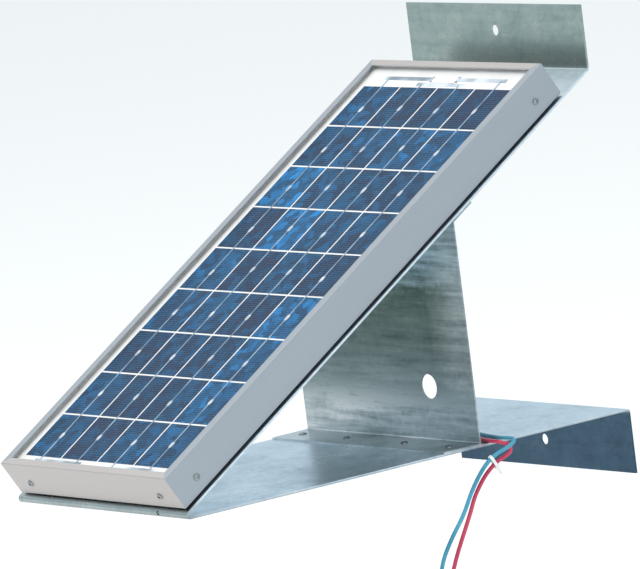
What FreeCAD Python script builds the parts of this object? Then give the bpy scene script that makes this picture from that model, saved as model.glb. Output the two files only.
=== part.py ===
import FreeCAD, Part
import Sketcher

import math
import os
import re

# A small framed solar panel for an electric-fence energizer, fixed on one folded
# strip of galvanised sheet that is screwed to a wall or a post, with its two leads.
#
# Part frame: +Z up, +Y towards the wall, +X across the width. The origin is midway
# between the two wall holes, on the wall plane. Pieces are drawn in one of two local
# frames: "bracket", with its origin on the lower wall bend, and "panel", with its
# origin at the middle of the panel's lower back edge, +Y up the slope and +Z out of
# the glass.

Vector = FreeCAD.Vector

SIZES = {
    # folded bracket
    "sheet_wide": 250, "sheet_thick": 2, "wall_rise": 302, "base_deep": 488,
    "wall_flange": 58, "bend_inside": 1.5, "wall_hole": 10, "wall_hole_edge": 24,
    "drain_across": 83, "drain_bore": 4,
    # upright that carries the slope
    "upright_front": 169, "upright_thick": 1.5, "foot_deep": 40, "head_deep": 26,
    "cable_hole": 22, "cable_hole_across": 62, "cable_hole_up": 49,
    "rivet_bore": 4, "rivet_head": 8, "rivet_rise": 1.3, "rivet_near": 42, "rivet_far": 106,
    "hole_play": 0.1,
    # panel and its frame
    "panel_wide": 244, "panel_long": 532, "frame_deep": 35, "panel_start": 7, "spacer_thick": 1.5,
    "rail_wall": 1.4, "lip_wide": 8, "lip_thick": 1.5, "channel": 5, "shelf": 1.5,
    "chamber": 9.4, "return_wide": 22, "return_thick": 1.5, "edge_break": 0.7,
    "key_reach": 38, "key_play": 0.2,
    "screw_in": 26, "screw_up": 13, "screw_shank": 3.2, "screw_head": 6.4, "screw_rise": 1.5,
    "screw_long": 7.6, "screw_slot": 1.0, "screw_slot_deep": 0.7,
    # laminate
    "seal_wide": 1, "glass_gap": 0.3, "glass_thick": 3.2, "cell_side": 52, "cell_gap": 2,
    "cell_columns": 4, "cell_rows": 9, "cell_start": 17.5, "cell_thick": 0.2,
    "tab_wide": 1.6, "tab_thick": 0.15, "bus_wide": 4.5, "bus_thick": 0.2, "bus_over": 7,
    "bus_low": 12.5, "bus_link": 505.8, "bus_end": 513, "terminal_gap": 16, "film_thick": 0.45,
    "back_thick": 0.35, "slot_wide": 40, "slot_long": 7, "wire_thick": 0.9,
    # junction box
    "box_wide": 64, "box_low": 456, "box_high": 518, "box_tall": 17, "box_wall": 2, "lid_long": 48,
    "lid_thick": 2, "knuckle": 2.75, "knuckle_long": 14, "knuckle_gap": 0.5, "pin_bore": 1.25,
    "pin_play": 0.04, "lid_play": 0.4, "seal_thick": 1.2,
    "block_wide": 40, "block_long": 10, "block_tall": 8, "block_at": 470, "clamp_screw": 3,
    "diode_thick": 4.6, "diode_long": 9, "diode_at": 496,
    "bush_long": 12, "bush_thick": 8, "bush_nose": 5.4, "bush_flange": 11, "bush_grip": 0.05,
    "lead_thick": 3.6, "lead_across": 12, "lead_up": 20, "lead_inside": 7.45,
    "core_thick": 1.6, "opening_wide": 88, "opening_low": 398, "opening_high": 512,
    # fixings between panel and bracket
    "bolt_bore": 5, "bolt_low": 80, "bolt_high": 452, "bolt_head": 8.5,
    "bolt_head_tall": 3.2, "bolt_tail": 2, "washer_wide": 11, "washer_thick": 1, "washer_gap": 0.6,
    "nut_flats": 8, "nut_tall": 4, "spacer_wide": 15,
    # leads beyond the bracket
    "coil_middle": 43, "coil_section": 13.2, "tie_thick": 1, "tie_wide": 2.6, "tie_spread": 7,
    "tie_play": 0.3, "eyelet_wide": 15, "eyelet_bore": 8.4, "eyelet_thick": 1.2, "sleeve_thick": 5.4,
    "sleeve_long": 13, "sleeve_over": 4,
}

doc = FreeCAD.newDocument("solar_panel_unit")
sheet = doc.addObject("Spreadsheet::Sheet", "sizes")
for row, (name, value) in enumerate(SIZES.items(), start=1):
    sheet.set(f"A{row}", str(value))
    sheet.setAlias(f"A{row}", name)
doc.recompute()

# Sizes that several pieces share, written as formulas of the sheet's values.
SLOPE = "atan2(wall_rise; base_deep)"
HALF_PANEL = "panel_wide / 2"
PANEL_RAISE = "(sheet_thick + spacer_thick)"
CHANNEL_LOW = "(frame_deep - lip_thick - channel)"
GLASS_TOP = "(frame_deep - lip_thick - glass_gap)"
TAB_TOP = f"({GLASS_TOP} - glass_thick - 0.05)"
CELL_TOP = f"({TAB_TOP} - tab_thick)"
FILM_TOP = f"({CELL_TOP} - cell_thick)"
BACK_TOP = f"({FILM_TOP} - film_thick)"
BOX_TOP = f"({BACK_TOP} - back_thick)"
LID_LOW = f"({BOX_TOP} - box_tall)"
PITCH = "(cell_side + cell_gap)"
EDGE = "(rail_wall + seal_wide)"
PIVOT_ALONG = "(box_low + lid_long + knuckle)"
PIVOT_UP = f"({LID_LOW} + knuckle)"
BOLT_ACROSS = f"({HALF_PANEL} - chamber - washer_wide / 2 - washer_gap)"
WIRE_UP = f"({BOX_TOP} - box_wall - diode_thick / 2)"


def tied(formula):
    """A formula in which each name of a size refers to the sheet."""
    return re.sub(r"[a-z]\w*", lambda found: "sizes." + found[0] if found[0] in SIZES else found[0], str(formula))


def number(formula):
    return float(sheet.evalExpression(tied(formula)))


def bind(piece, **formulas):
    for path, formula in formulas.items():
        piece.setExpression(path.replace("__", "."), tied(formula))
    return piece


def on_bracket(piece):
    return bind(piece, Placement__Base__z="-wall_rise / 2")


def on_panel(piece):
    piece.Placement = FreeCAD.Placement(Vector(), FreeCAD.Rotation(Vector(1, 0, 0), 1))
    return bind(
        piece,
        Placement__Base__y=f"-base_deep + panel_start * cos({SLOPE}) - {PANEL_RAISE} * sin({SLOPE})",
        Placement__Base__z=f"-wall_rise / 2 + panel_start * sin({SLOPE}) + {PANEL_RAISE} * cos({SLOPE})",
        Placement__Rotation__Angle=SLOPE,
    )


def outline(body, plane, loops, name="outline"):
    """A sketch on one of the body's own planes. Each loop lists its corners as two formulas."""
    sketch = body.newObject("Sketcher::SketchObject", name)
    planes = {feature.Role: feature for feature in body.Origin.OriginFeatures}
    sketch.AttachmentSupport = [(planes[plane], "")]
    sketch.MapMode = "FlatFace"
    first = 0
    for corners in loops:
        places = [Vector(number(across), number(up), 0) for across, up in corners]
        count = len(places)
        for n in range(count):
            sketch.addGeometry(Part.LineSegment(places[n], places[(n + 1) % count]))
        for n in range(count):
            after = first + (n + 1) % count
            sketch.addConstraint(Sketcher.Constraint("Coincident", first + n, 2, after, 1))
        for n, (across, up) in enumerate(corners):
            for kind, place, formula in (("DistanceX", places[n].x, across), ("DistanceY", places[n].y, up)):
                index = sketch.addConstraint(Sketcher.Constraint(kind, -1, 1, first + n, 1, place))
                sketch.setExpression(f"Constraints[{index}]", tied(formula))
        first += count
    return sketch


def ring_outline(body, plane, rings, name="holes"):
    """A sketch of circles: each ring is its centre across, its centre up and its radius."""
    sketch = body.newObject("Sketcher::SketchObject", name)
    planes = {feature.Role: feature for feature in body.Origin.OriginFeatures}
    sketch.AttachmentSupport = [(planes[plane], "")]
    sketch.MapMode = "FlatFace"
    for n, (across, up, radius) in enumerate(rings):
        centre = Vector(number(across), number(up), 0)
        sketch.addGeometry(Part.Circle(centre, Vector(0, 0, 1), number(radius)))
        for rule, formula in (
            (Sketcher.Constraint("DistanceX", -1, 1, n, 3, centre.x), across),
            (Sketcher.Constraint("DistanceY", -1, 1, n, 3, centre.y), up),
            (Sketcher.Constraint("Radius", n, number(radius)), radius),
        ):
            index = sketch.addConstraint(rule)
            sketch.setExpression(f"Constraints[{index}]", tied(formula))
    return sketch


def padded(name, plane, loops, depth):
    """A body whose outline is pushed out to half its depth on each side of the plane."""
    body = doc.addObject("PartDesign::Body", name)
    pad = body.newObject("PartDesign::Pad", name + "_pad")
    pad.Profile = outline(body, plane, loops)
    pad.SideType = "Symmetric"
    bind(pad, Length=depth)
    return body


def pocketed(body, sketch):
    pocket = body.newObject("PartDesign::Pocket", body.Name + "_pocket")
    pocket.Profile = sketch
    pocket.SideType = "Symmetric"
    pocket.Type = "ThroughAll"
    return body


def turned(name, corners):
    """A body of revolution about Z: each corner is its radius and its height."""
    body = doc.addObject("PartDesign::Body", name)
    turn = body.newObject("PartDesign::Revolution", name + "_turn")
    sketch = outline(body, "XZ_Plane", [corners])
    turn.Profile = sketch
    turn.ReferenceAxis = (sketch, ["V_Axis"])
    turn.Angle = 360
    return body


def rounded(body, places, radius):
    """Fillet the body's edges along X that pass through the given (y, z) places."""
    base = body.Tip
    doc.recompute()
    names = []
    for n, edge in enumerate(base.Shape.Edges, start=1):
        ends = [vertex.Point for vertex in edge.Vertexes]
        if len(ends) != 2 or abs(ends[0].x - ends[1].x) < 1:
            continue
        for y, z in places:
            if all(math.hypot(end.y - number(y), end.z - number(z)) < 0.01 for end in ends):
                names.append(f"Edge{n}")
    fillet = body.newObject("PartDesign::Fillet", body.Name + "_bend")
    fillet.Base = (base, names)
    bind(fillet, Radius=radius)
    return body


def box(name, size, corner):
    """A block: its three sizes, then its lowest corner, all as formulas."""
    piece = doc.addObject("Part::Box", name)
    for path, formula in zip(("Length", "Width", "Height"), size):
        piece.setExpression(path, tied(formula))
    for axis, formula in zip("xyz", corner):
        piece.setExpression(f"Placement.Base.{axis}", tied(formula))
    return piece


TURN = {
    "x": FreeCAD.Rotation(Vector(0, 0, 1), Vector(1, 0, 0)),
    "y": FreeCAD.Rotation(Vector(0, 0, 1), Vector(0, 1, 0)),
    "z": FreeCAD.Rotation(),
    "-x": FreeCAD.Rotation(Vector(0, 0, 1), Vector(-1, 0, 0)),
    "-y": FreeCAD.Rotation(Vector(0, 0, 1), Vector(0, -1, 0)),
}


def put(piece, place, axis="z"):
    """Place a piece with its own Z along the named axis."""
    piece.Placement = FreeCAD.Placement(Vector(), TURN[axis])
    for letter, formula in zip("xyz", place):
        piece.setExpression(f"Placement.Base.{letter}", tied(formula))
    return piece


def rod(name, radius, length, place, axis="z"):
    piece = doc.addObject("Part::Cylinder", name)
    bind(piece, Radius=radius, Height=length)
    return put(piece, place, axis)


def copy_of(master, name, place, axis="z"):
    link = doc.addObject("App::Link", name)
    link.LinkedObject = master
    link.LinkTransform = False
    return put(link, place, axis)


def cut(name, base, tool):
    piece = doc.addObject("Part::Cut", name)
    piece.Base = base
    piece.Tool = tool
    return piece


def joined(name, pieces):
    piece = doc.addObject("Part::MultiFuse", name)
    piece.Shapes = pieces
    return piece


def group(name, pieces):
    piece = doc.addObject("Part::Compound", name)
    piece.Links = pieces
    return piece


def sides(*across):
    """Each distance on both sides of the middle, as formulas."""
    return [f"{sign} * ({distance})" for distance in across for sign in (-1, 1)]


# ---------------------------------------------------------------- folded bracket

def make_bracket():
    """One strip: upper wall flange, slope, sharp front fold, base and lower wall flange."""
    inside = [
        ("0", "wall_rise + wall_flange"), ("0", "wall_rise"), ("-base_deep", "0"),
        ("0", "0"), ("0", "-wall_flange"),
    ]
    outside = [
        ("-sheet_thick", "-wall_flange"), ("-sheet_thick", "-sheet_thick"),
        (f"-base_deep - sheet_thick * sin({SLOPE}) / (1 - cos({SLOPE}))", "-sheet_thick"),
        ("-sheet_thick", f"wall_rise + sheet_thick * cos({SLOPE}) / (1 + sin({SLOPE}))"),
        ("-sheet_thick", "wall_rise + wall_flange"),
    ]
    body = padded("bracket_fold", "YZ_Plane", [inside + outside], "sheet_wide")
    rounded(body, [inside[1], inside[3], outside[2]], "bend_inside + sheet_thick")
    rounded(body, [inside[2], outside[1], outside[3]], "bend_inside")
    reach = "(wall_flange - wall_hole_edge)"
    pocketed(body, ring_outline(body, "XZ_Plane", [
        ("0", f"wall_rise + {reach}", "wall_hole / 2"), ("0", f"-{reach}", "wall_hole / 2")]))
    on_bracket(body)
    drain = on_bracket(group("drain_cutter", [
        rod("drain_drill", "drain_bore / 2", "14",
            ("drain_across", "-base_deep - 6", "bend_inside"), "y")]))
    opening = on_panel(group("opening_cutter", [
        box("opening_block", ("opening_wide", "opening_high - opening_low", "sheet_thick + 4"),
            ("-opening_wide / 2", "opening_low", f"-{PANEL_RAISE} - 2"))]))
    tools = [drain, opening, foot_drills, head_drills, bolt_drills]
    return cut("bracket_sheet", body, group("bracket_cutters", tools))


def rivet_holes(name, mark, heights):
    """Drills for one row of four rivets, at the given place along and height."""
    along, up, length = heights
    drills = [rod(f"{name}_{n}", "rivet_bore / 2 + hole_play / 2", length, (across, along, up))
              for n, across in enumerate(sides("rivet_near", "rivet_far"))]
    return mark(group(name, drills))


HEAD_ALONG = f"((base_deep - upright_front) / cos({SLOPE}) - panel_start + head_deep / 2 + 2)"
foot_drills = rivet_holes("foot_drills", on_bracket,
                          ("-upright_front - foot_deep / 2", "-sheet_thick - 2", "10"))
head_drills = rivet_holes("head_drills", on_panel, (HEAD_ALONG, f"-{PANEL_RAISE} - 6", "12"))
bolt_drills = on_panel(group("bolt_drills", [
    rod(f"bolt_drill_{n}{m}", "bolt_bore / 2 + hole_play", "16", (across, along, f"-{PANEL_RAISE} - 4"))
    for n, across in enumerate(sides(BOLT_ACROSS))
    for m, along in enumerate(("bolt_low", "bolt_high"))]))
bracket = make_bracket()


def make_upright():
    """A plate bent forwards at its foot and up the slope at its head, with one cable hole."""
    rear = "-upright_front + upright_thick"
    head_end = f"(-upright_front + head_deep * cos({SLOPE}))"
    front_top = f"(base_deep - upright_front) * tan({SLOPE})"
    under = f"(base_deep - upright_front + upright_thick) * tan({SLOPE}) - upright_thick / cos({SLOPE})"
    head_top = f"({front_top} + head_deep * sin({SLOPE}))"
    corners = [
        ("-upright_front - foot_deep", "0"), (rear, "0"), (rear, under),
        (f"{head_end} + upright_thick * sin({SLOPE})", f"{head_top} - upright_thick * cos({SLOPE})"),
        (head_end, head_top), ("-upright_front", front_top), ("-upright_front", "upright_thick"),
        ("-upright_front - foot_deep", "upright_thick"),
    ]
    body = padded("upright_fold", "YZ_Plane", [corners], "sheet_wide")
    rounded(body, [corners[1], corners[5]], "bend_inside + upright_thick")
    rounded(body, [corners[2], corners[6]], "bend_inside")
    pocketed(body, ring_outline(body, "XZ_Plane", [
        ("cable_hole_across", "cable_hole_up", "cable_hole / 2")]))
    on_bracket(body)
    return cut("support_upright", body, group("upright_cutters", [foot_drills, head_drills]))


upright = make_upright()


def make_rivets():
    """Blind rivets: a domed flange with its pierced middle above, a set head below."""
    grip = "(sheet_thick + upright_thick)"
    dome = ("rivet_head / 2", "rivet_rise")
    corners = [
        ("0", f"-{dome[1]}"), (f"{dome[0]} * 0.55", f"-{dome[1]}"), (f"{dome[0]} * 0.8", "0"),
        ("rivet_bore / 2", "0"), ("rivet_bore / 2", grip), (dome[0], grip),
        (f"{dome[0]} * 0.94", f"{grip} + {dome[1]} * 0.45"), (f"{dome[0]} * 0.72", f"{grip} + {dome[1]} * 0.85"),
        (f"{dome[0]} * 0.45", f"{grip} + {dome[1]}"), ("0.9", f"{grip} + {dome[1]}"),
        ("0.9", f"{grip} + {dome[1]} * 0.4"), ("0", f"{grip} + {dome[1]} * 0.4"),
    ]
    master = turned("rivet", corners)
    foot = group("foot_rivets", [
        copy_of(master, f"foot_rivet_{n}", (across, "-upright_front - foot_deep / 2", "-sheet_thick"))
        for n, across in enumerate(sides("rivet_near", "rivet_far"))])
    head = group("head_rivets", [
        copy_of(master, f"head_rivet_{n}", (across, HEAD_ALONG, f"-{PANEL_RAISE} - upright_thick"))
        for n, across in enumerate(sides("rivet_near", "rivet_far"))])
    return [on_bracket(foot), on_panel(head)]


rivets = make_rivets()


# ---------------------------------------------------------------- panel frame

def rail_loops(place):
    """The rail's section, from its outer face inwards: lip, glass channel, hollow, return."""
    top = "frame_deep"
    walls = [
        ("edge_break", "0"), ("return_wide", "0"), ("return_wide", "return_thick"),
        ("chamber", "return_thick"), ("chamber", CHANNEL_LOW), ("rail_wall", CHANNEL_LOW),
        ("rail_wall", f"{top} - lip_thick"), ("lip_wide", f"{top} - lip_thick"),
        ("lip_wide", f"{top} - 0.4"), ("lip_wide - 0.4", top), ("edge_break", top),
        ("0", f"{top} - edge_break"), ("0", "edge_break"),
    ]
    hollow = [
        ("rail_wall", "return_thick"), ("chamber - rail_wall", "return_thick"),
        ("chamber - rail_wall", f"{CHANNEL_LOW} - shelf"), ("rail_wall", f"{CHANNEL_LOW} - shelf"),
    ]
    return [[(place(inwards), up) for inwards, up in loop] for loop in (walls, hollow)]


def make_rail(name, side, sign):
    """One rail, drawn across the middle of its length and mitred at both ends."""
    overlap = "return_wide"
    if side == "long":
        def place(inwards):
            return f"{sign} * ({HALF_PANEL} - ({inwards}))"
        body = padded(name + "_bar", "XZ_Plane", rail_loops(place), "2 * panel_long")
        edge, inner = place("0"), place(overlap)
        corners = [
            [(edge, "0"), (inner, overlap), (inner, "-panel_long"), (edge, "-panel_long")],
            [(edge, "panel_long"), (inner, f"panel_long - {overlap}"), (inner, "2 * panel_long"),
             (edge, "2 * panel_long")],
        ]
    else:
        def place(inwards):
            return inwards if sign < 0 else f"panel_long - ({inwards})"
        body = padded(name + "_bar", "YZ_Plane", rail_loops(place), "2 * panel_wide")
        edge, inner = place("0"), place(overlap)
        corners = [
            [(f"{end} * {HALF_PANEL}", edge), (f"{end} * ({HALF_PANEL} - {overlap})", inner),
             (f"{end} * 1.5 * panel_wide", inner), (f"{end} * 1.5 * panel_wide", edge)]
            for end in (-1, 1)
        ]
    pocketed(body, outline(body, "XY_Plane", corners, "mitres"))
    on_panel(body)
    tools = group(name + "_cutters", [frame_drills, bolt_drills] if side == "long" else [frame_drills])
    return cut(name, body, tools)


def frame_screw_places():
    """Where each corner screw stands on the outer face, and the way its head looks."""
    places = []
    for along in ("screw_in", "panel_long - screw_in"):
        places.append(((f"-{HALF_PANEL}", along, "screw_up"), "-x"))
        places.append(((HALF_PANEL, along, "screw_up"), "x"))
    for across in sides(f"{HALF_PANEL} - screw_in"):
        places.append(((across, "0", "screw_up"), "-y"))
        places.append(((across, "panel_long", "screw_up"), "y"))
    return places


def make_frame_drills():
    """Drills that pass through the rails' outer walls, one for each corner screw."""
    drills = []
    for n, (place, way) in enumerate(frame_screw_places()):
        ahead = TURN[way].multVec(Vector(0, 0, 1))
        start = [f"{middle} - {step:.0f} * screw_long" for middle, step in zip(place, ahead)]
        drills.append(rod(f"frame_drill_{n}", "screw_shank / 2 + hole_play / 2", "2 * screw_long", start, way))
    return on_panel(group("frame_drills", drills))


def make_corner_keys():
    """L-shaped keys that sit in the hollow rails and hold each mitre together."""
    low, high = "(rail_wall + key_play)", "(chamber - rail_wall - key_play)"
    bottom, top = "(return_thick + key_play)", f"({CHANNEL_LOW} - shelf - key_play)"
    keys = []
    for n, (side, end) in enumerate(((-1, 0), (1, 0), (-1, 1), (1, 1))):
        def across(inwards):
            return f"{side} * ({HALF_PANEL} - {inwards})"

        def along(inwards):
            return f"{inwards}" if end == 0 else f"panel_long - {inwards}"
        corners = [(across(low), along(low)), (across("key_reach"), along(low)),
                   (across("key_reach"), along(high)), (across(high), along(high)),
                   (across(high), along("key_reach")), (across(low), along("key_reach"))]
        body = doc.addObject("PartDesign::Body", f"corner_key_{n}")
        pad = body.newObject("PartDesign::Pad", f"corner_key_{n}_pad")
        pad.Profile = outline(body, "XY_Plane", [corners])
        bind(pad, Length=f"{top} - {bottom}")
        body.setExpression("Placement.Base.z", tied(bottom))
        keys.append(body)
    return cut("corner_keys", on_panel(group("corner_key_blanks", keys)), frame_drills)


def make_frame_screws():
    corners = [
        ("0", "-screw_long"), ("screw_shank / 2 * 0.5", "-screw_long"), ("screw_shank / 2", "-screw_long + 1.2"),
        ("screw_shank / 2", "0"), ("screw_head / 2", "0"), ("screw_head / 2", "screw_rise * 0.45"),
        ("screw_head / 2 * 0.82", "screw_rise * 0.85"), ("screw_head / 2 * 0.5", "screw_rise"), ("0", "screw_rise"),
    ]
    master = turned("frame_screw", corners)
    half, wide = "screw_head / 2 * 0.62", "screw_slot / 2"
    cross = [(half, f"-{wide}"), (half, wide), (wide, wide), (wide, half), (f"-{wide}", half),
             (f"-{wide}", wide), (f"-{half}", wide), (f"-{half}", f"-{wide}"), (f"-{wide}", f"-{wide}"),
             (f"-{wide}", f"-{half}"), (wide, f"-{half}"), (wide, f"-{wide}")]
    sketch = outline(master, "XY_Plane", [cross], "recess")
    sketch.AttachmentOffset = FreeCAD.Placement(Vector(0, 0, 1), FreeCAD.Rotation())
    bind(sketch, AttachmentOffset__Base__z="screw_rise")
    recess = master.newObject("PartDesign::Pocket", "frame_screw_recess")
    recess.Profile = sketch
    bind(recess, Length="screw_slot_deep")
    screws = [copy_of(master, f"corner_screw_{n}", place, way)
              for n, (place, way) in enumerate(frame_screw_places())]
    return on_panel(group("frame_screws", screws))


frame_drills = make_frame_drills()
rails = [
    make_rail("frame_left_rail", "long", -1), make_rail("frame_right_rail", "long", 1),
    make_rail("frame_bottom_rail", "short", -1), make_rail("frame_top_rail", "short", 1),
]
corner_keys = make_corner_keys()
frame_screws = make_frame_screws()


# ---------------------------------------------------------------- laminate

def plate(name, thick, top):
    """A plate of the laminate's full size with its upper face at the given height."""
    return box(name, (f"panel_wide - 2 * {EDGE}", f"panel_long - 2 * {EDGE}", thick),
               (f"-{HALF_PANEL} + {EDGE}", EDGE, f"{top} - {thick}"))


def slotted(name, thick, top):
    """A laminate plate with the slot that the end ribbons pass through to the junction box."""
    blank = plate(name + "_blank", thick, top)
    slot = box(name + "_slot", ("slot_wide", "slot_long", "4"),
               ("-slot_wide / 2", "bus_end - slot_long / 2", f"{top} - 3"))
    return on_panel(cut(name, blank, slot))


def column(n):
    """The middle of one column of cells, counted from the left."""
    return f"(({n} - (cell_columns - 1) / 2) * {PITCH})"


def make_cells():
    start = f"(-(cell_columns * cell_side + (cell_columns - 1) * cell_gap) / 2)"
    cells = [box(f"cell_{n}_{m}", ("cell_side", "cell_side", "cell_thick"),
                 (f"{start} + {n} * {PITCH}", f"cell_start + {m} * {PITCH}", FILM_TOP))
             for n in range(SIZES["cell_columns"]) for m in range(SIZES["cell_rows"])]
    return on_panel(group("solar_cells", cells))


def make_tabs():
    """One long tinned ribbon up the middle of each column, from bus to bus."""
    tabs = []
    for n in range(SIZES["cell_columns"]):
        outer = n in (0, SIZES["cell_columns"] - 1)
        end = "bus_end" if outer else "bus_link"
        tabs.append(box(f"tab_{n}", ("tab_wide", f"{end} - bus_low", "tab_thick"),
                        (f"{column(n)} - tab_wide / 2", "bus_low", CELL_TOP)))
    return on_panel(group("cell_ribbons", tabs))


def bus(name, low, high, along):
    return box(name, (f"({high}) - ({low})", "bus_wide", "bus_thick"),
               (low, f"{along} - bus_wide / 2", FILM_TOP))


def make_buses():
    """Cross ribbons: two links at the foot, one at the head and two that end in the box."""
    last = SIZES["cell_columns"] - 1
    links = [
        bus("bus_left_foot", f"{column(0)} - bus_over", f"{column(1)} + bus_over", "bus_low"),
        bus("bus_right_foot", f"{column(2)} - bus_over", f"{column(last)} + bus_over", "bus_low"),
        bus("bus_head", f"{column(1)} - bus_over", f"{column(2)} + bus_over", "bus_link"),
    ]
    ends = []
    low_end = f"({WIRE_UP} - wire_thick / 2 - bus_thick)"
    for name, low, high, drop in (
        ("bus_minus", f"{column(0)} - bus_over", "-terminal_gap / 2", "-terminal_gap / 2 - bus_wide"),
        ("bus_plus", "terminal_gap / 2", f"{column(last)} + bus_over", "terminal_gap / 2"),
    ):
        leg = box(name + "_leg", ("bus_wide", "bus_thick", f"{FILM_TOP} - {low_end}"),
                  (drop, "bus_end - bus_thick / 2", low_end))
        foot = box(name + "_foot", ("bus_wide", "bus_end - block_at - block_long", "bus_thick"),
                   (drop, "block_at + block_long", low_end))
        ends.append(joined(name, [bus(name + "_run", low, high, "bus_end"), leg, foot]))
    return on_panel(group("bus_ribbons", links + ends))


def make_edge_seal():
    """The strip of sealant between the laminate's edge and the rails' channel."""
    outer = box("seal_outer", ("panel_wide - 2 * rail_wall", "panel_long - 2 * rail_wall", "channel"),
                (f"-{HALF_PANEL} + rail_wall", "rail_wall", CHANNEL_LOW))
    inner = box("seal_inner", (f"panel_wide - 2 * {EDGE}", f"panel_long - 2 * {EDGE}", "channel + 2"),
                (f"-{HALF_PANEL} + {EDGE}", EDGE, f"{CHANNEL_LOW} - 1"))
    return on_panel(cut("edge_seal", outer, inner))


glass = on_panel(group("front_glass", [plate("glass_plate", "glass_thick", GLASS_TOP)]))
cells = make_cells()
tabs = make_tabs()
buses = make_buses()
film = slotted("rear_encapsulant", "film_thick", FILM_TOP)
backsheet = slotted("backsheet", "back_thick", BACK_TOP)
edge_seal = make_edge_seal()


# ---------------------------------------------------------------- junction box

def make_junction_box():
    """A tray open towards the sheet, with its cable end, a bridge over the ribbons and two ears."""
    wide, long = "box_wide", "(box_high - box_low)"
    shell = box("box_shell", (wide, long, "box_tall - lid_thick - 0.2"),
                ("-box_wide / 2", "box_low", f"{LID_LOW} + lid_thick + 0.2"))
    room = box("box_room", (f"{wide} - 2 * box_wall", f"{long} - 2 * box_wall", "box_tall"),
               ("-box_wide / 2 + box_wall", "box_low + box_wall", f"{BOX_TOP} - box_wall - box_tall"))
    slot = box("box_slot", ("slot_wide", "slot_long", "6"),
               ("-slot_wide / 2", "bus_end - slot_long / 2", f"{BOX_TOP} - 4"))
    bores = [rod(f"box_bore_{n}", "lead_thick / 2 + 1", "box_wall + 4",
                 (across, "box_low - 2", "lead_up"), "y") for n, across in enumerate(sides("lead_across"))]
    tray = cut("box_tray", shell, group("box_cutters", [room, slot] + bores))
    bridge = box("box_bridge", (f"{wide} - 2 * box_wall + 1", f"box_high - box_wall - {PIVOT_ALONG} - knuckle", "2"),
                 (f"-{wide} / 2 + box_wall - 0.5", f"{PIVOT_ALONG} + knuckle + 0.5", f"{LID_LOW} + lid_thick + 0.2"))
    ears = []
    for n, low in enumerate(("-box_wide / 2", "box_wide / 2 - knuckle_long")):
        barrel = rod(f"ear_barrel_{n}", "knuckle", "knuckle_long", (low, PIVOT_ALONG, PIVOT_UP), "x")
        web = box(f"ear_web_{n}", ("knuckle_long", "2 * knuckle", f"{LID_LOW} + lid_thick + 2 - {PIVOT_UP}"),
                  (low, f"{PIVOT_ALONG} - knuckle", PIVOT_UP))
        ears += [barrel, web]
    solid = joined("box_solid", [tray, bridge] + ears)
    bore = rod("box_pin_bore", "pin_bore + 0.02", "box_wide + 4", ("-box_wide / 2 - 2", PIVOT_ALONG, PIVOT_UP), "x")
    sweep = rod("box_lid_room", "knuckle + lid_play", f"box_wide - 2 * knuckle_long",
                ("-box_wide / 2 + knuckle_long", PIVOT_ALONG, PIVOT_UP), "x")
    return on_panel(cut("junction_box", solid, group("box_pin_cutters", [bore, sweep])))


def make_lid():
    """The lid with its middle knuckle. It swings down through the opening in the sheet."""
    inner = "(box_wide - 2 * knuckle_long - 2 * knuckle_gap)"
    panel = box("lid_panel", ("box_wide", "lid_long - lid_play", "lid_thick"),
                ("-box_wide / 2", "box_low", LID_LOW))
    arm = box("lid_arm", (inner, "knuckle + lid_play + 0.4", "lid_thick"),
              (f"-{inner} / 2", "box_low + lid_long - lid_play - 0.4", LID_LOW))
    barrel = rod("lid_barrel", "knuckle", inner, (f"-{inner} / 2", PIVOT_ALONG, PIVOT_UP), "x")
    grip = box("lid_grip", ("16", "2.5", "1.5"), ("-8", "box_low", f"{LID_LOW} - 1.5"))
    solid = joined("lid_solid", [panel, arm, barrel, grip])
    bore = rod("lid_bore", "pin_bore + pin_play", "box_wide", ("-box_wide / 2", PIVOT_ALONG, PIVOT_UP), "x")
    return on_panel(cut("junction_lid", solid, bore))


def make_lid_seal():
    wide, long = "(box_wide - 2 * box_wall - 0.4)", "(lid_long - box_wall - 2.5)"
    outer = box("lid_seal_outer", (wide, long, "1.6"),
                (f"-{wide} / 2", "box_low + box_wall + 0.2", f"{LID_LOW} + lid_thick + 0.2"))
    inner = box("lid_seal_inner", (f"{wide} - 2 * seal_thick", f"{long} - 2 * seal_thick", "4"),
                (f"-{wide} / 2 + seal_thick", "box_low + box_wall + 0.2 + seal_thick", f"{LID_LOW} + lid_thick - 1"))
    return on_panel(cut("lid_seal", outer, inner))


def make_terminals():
    """An insulating block with two lead clamps, held on the box's floor."""
    top = f"({BOX_TOP} - box_wall)"
    block = box("terminal_body", ("block_wide", "block_long", "block_tall"),
                ("-block_wide / 2", "block_at", f"{top} - block_tall"))
    wells = [rod(f"clamp_well_{n}", "clamp_screw / 2 + hole_play", "block_tall + 2",
                 (across, "block_at + block_long / 2", f"{top} - block_tall - 1"))
             for n, across in enumerate(sides("lead_across"))]
    screws = []
    for n, across in enumerate(sides("lead_across")):
        shank = rod(f"clamp_shank_{n}", "clamp_screw / 2", "6",
                    (across, "block_at + block_long / 2", f"{top} - block_tall"))
        head = rod(f"clamp_head_{n}", "clamp_screw", "1.6",
                   (across, "block_at + block_long / 2", f"{top} - block_tall - 1.6"))
        slot = box(f"clamp_slot_{n}", ("2 * clamp_screw + 1", "0.8", "0.8"),
                   (f"{across} - clamp_screw - 0.5", "block_at + block_long / 2 - 0.4", f"{top} - block_tall - 1.7"))
        screws.append(cut(f"clamp_{n}", joined(f"clamp_solid_{n}", [shank, head]), slot))
    return [
        on_panel(cut("terminal_block", block, group("clamp_wells", wells))),
        on_panel(group("terminal_screws", screws)),
    ]


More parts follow.
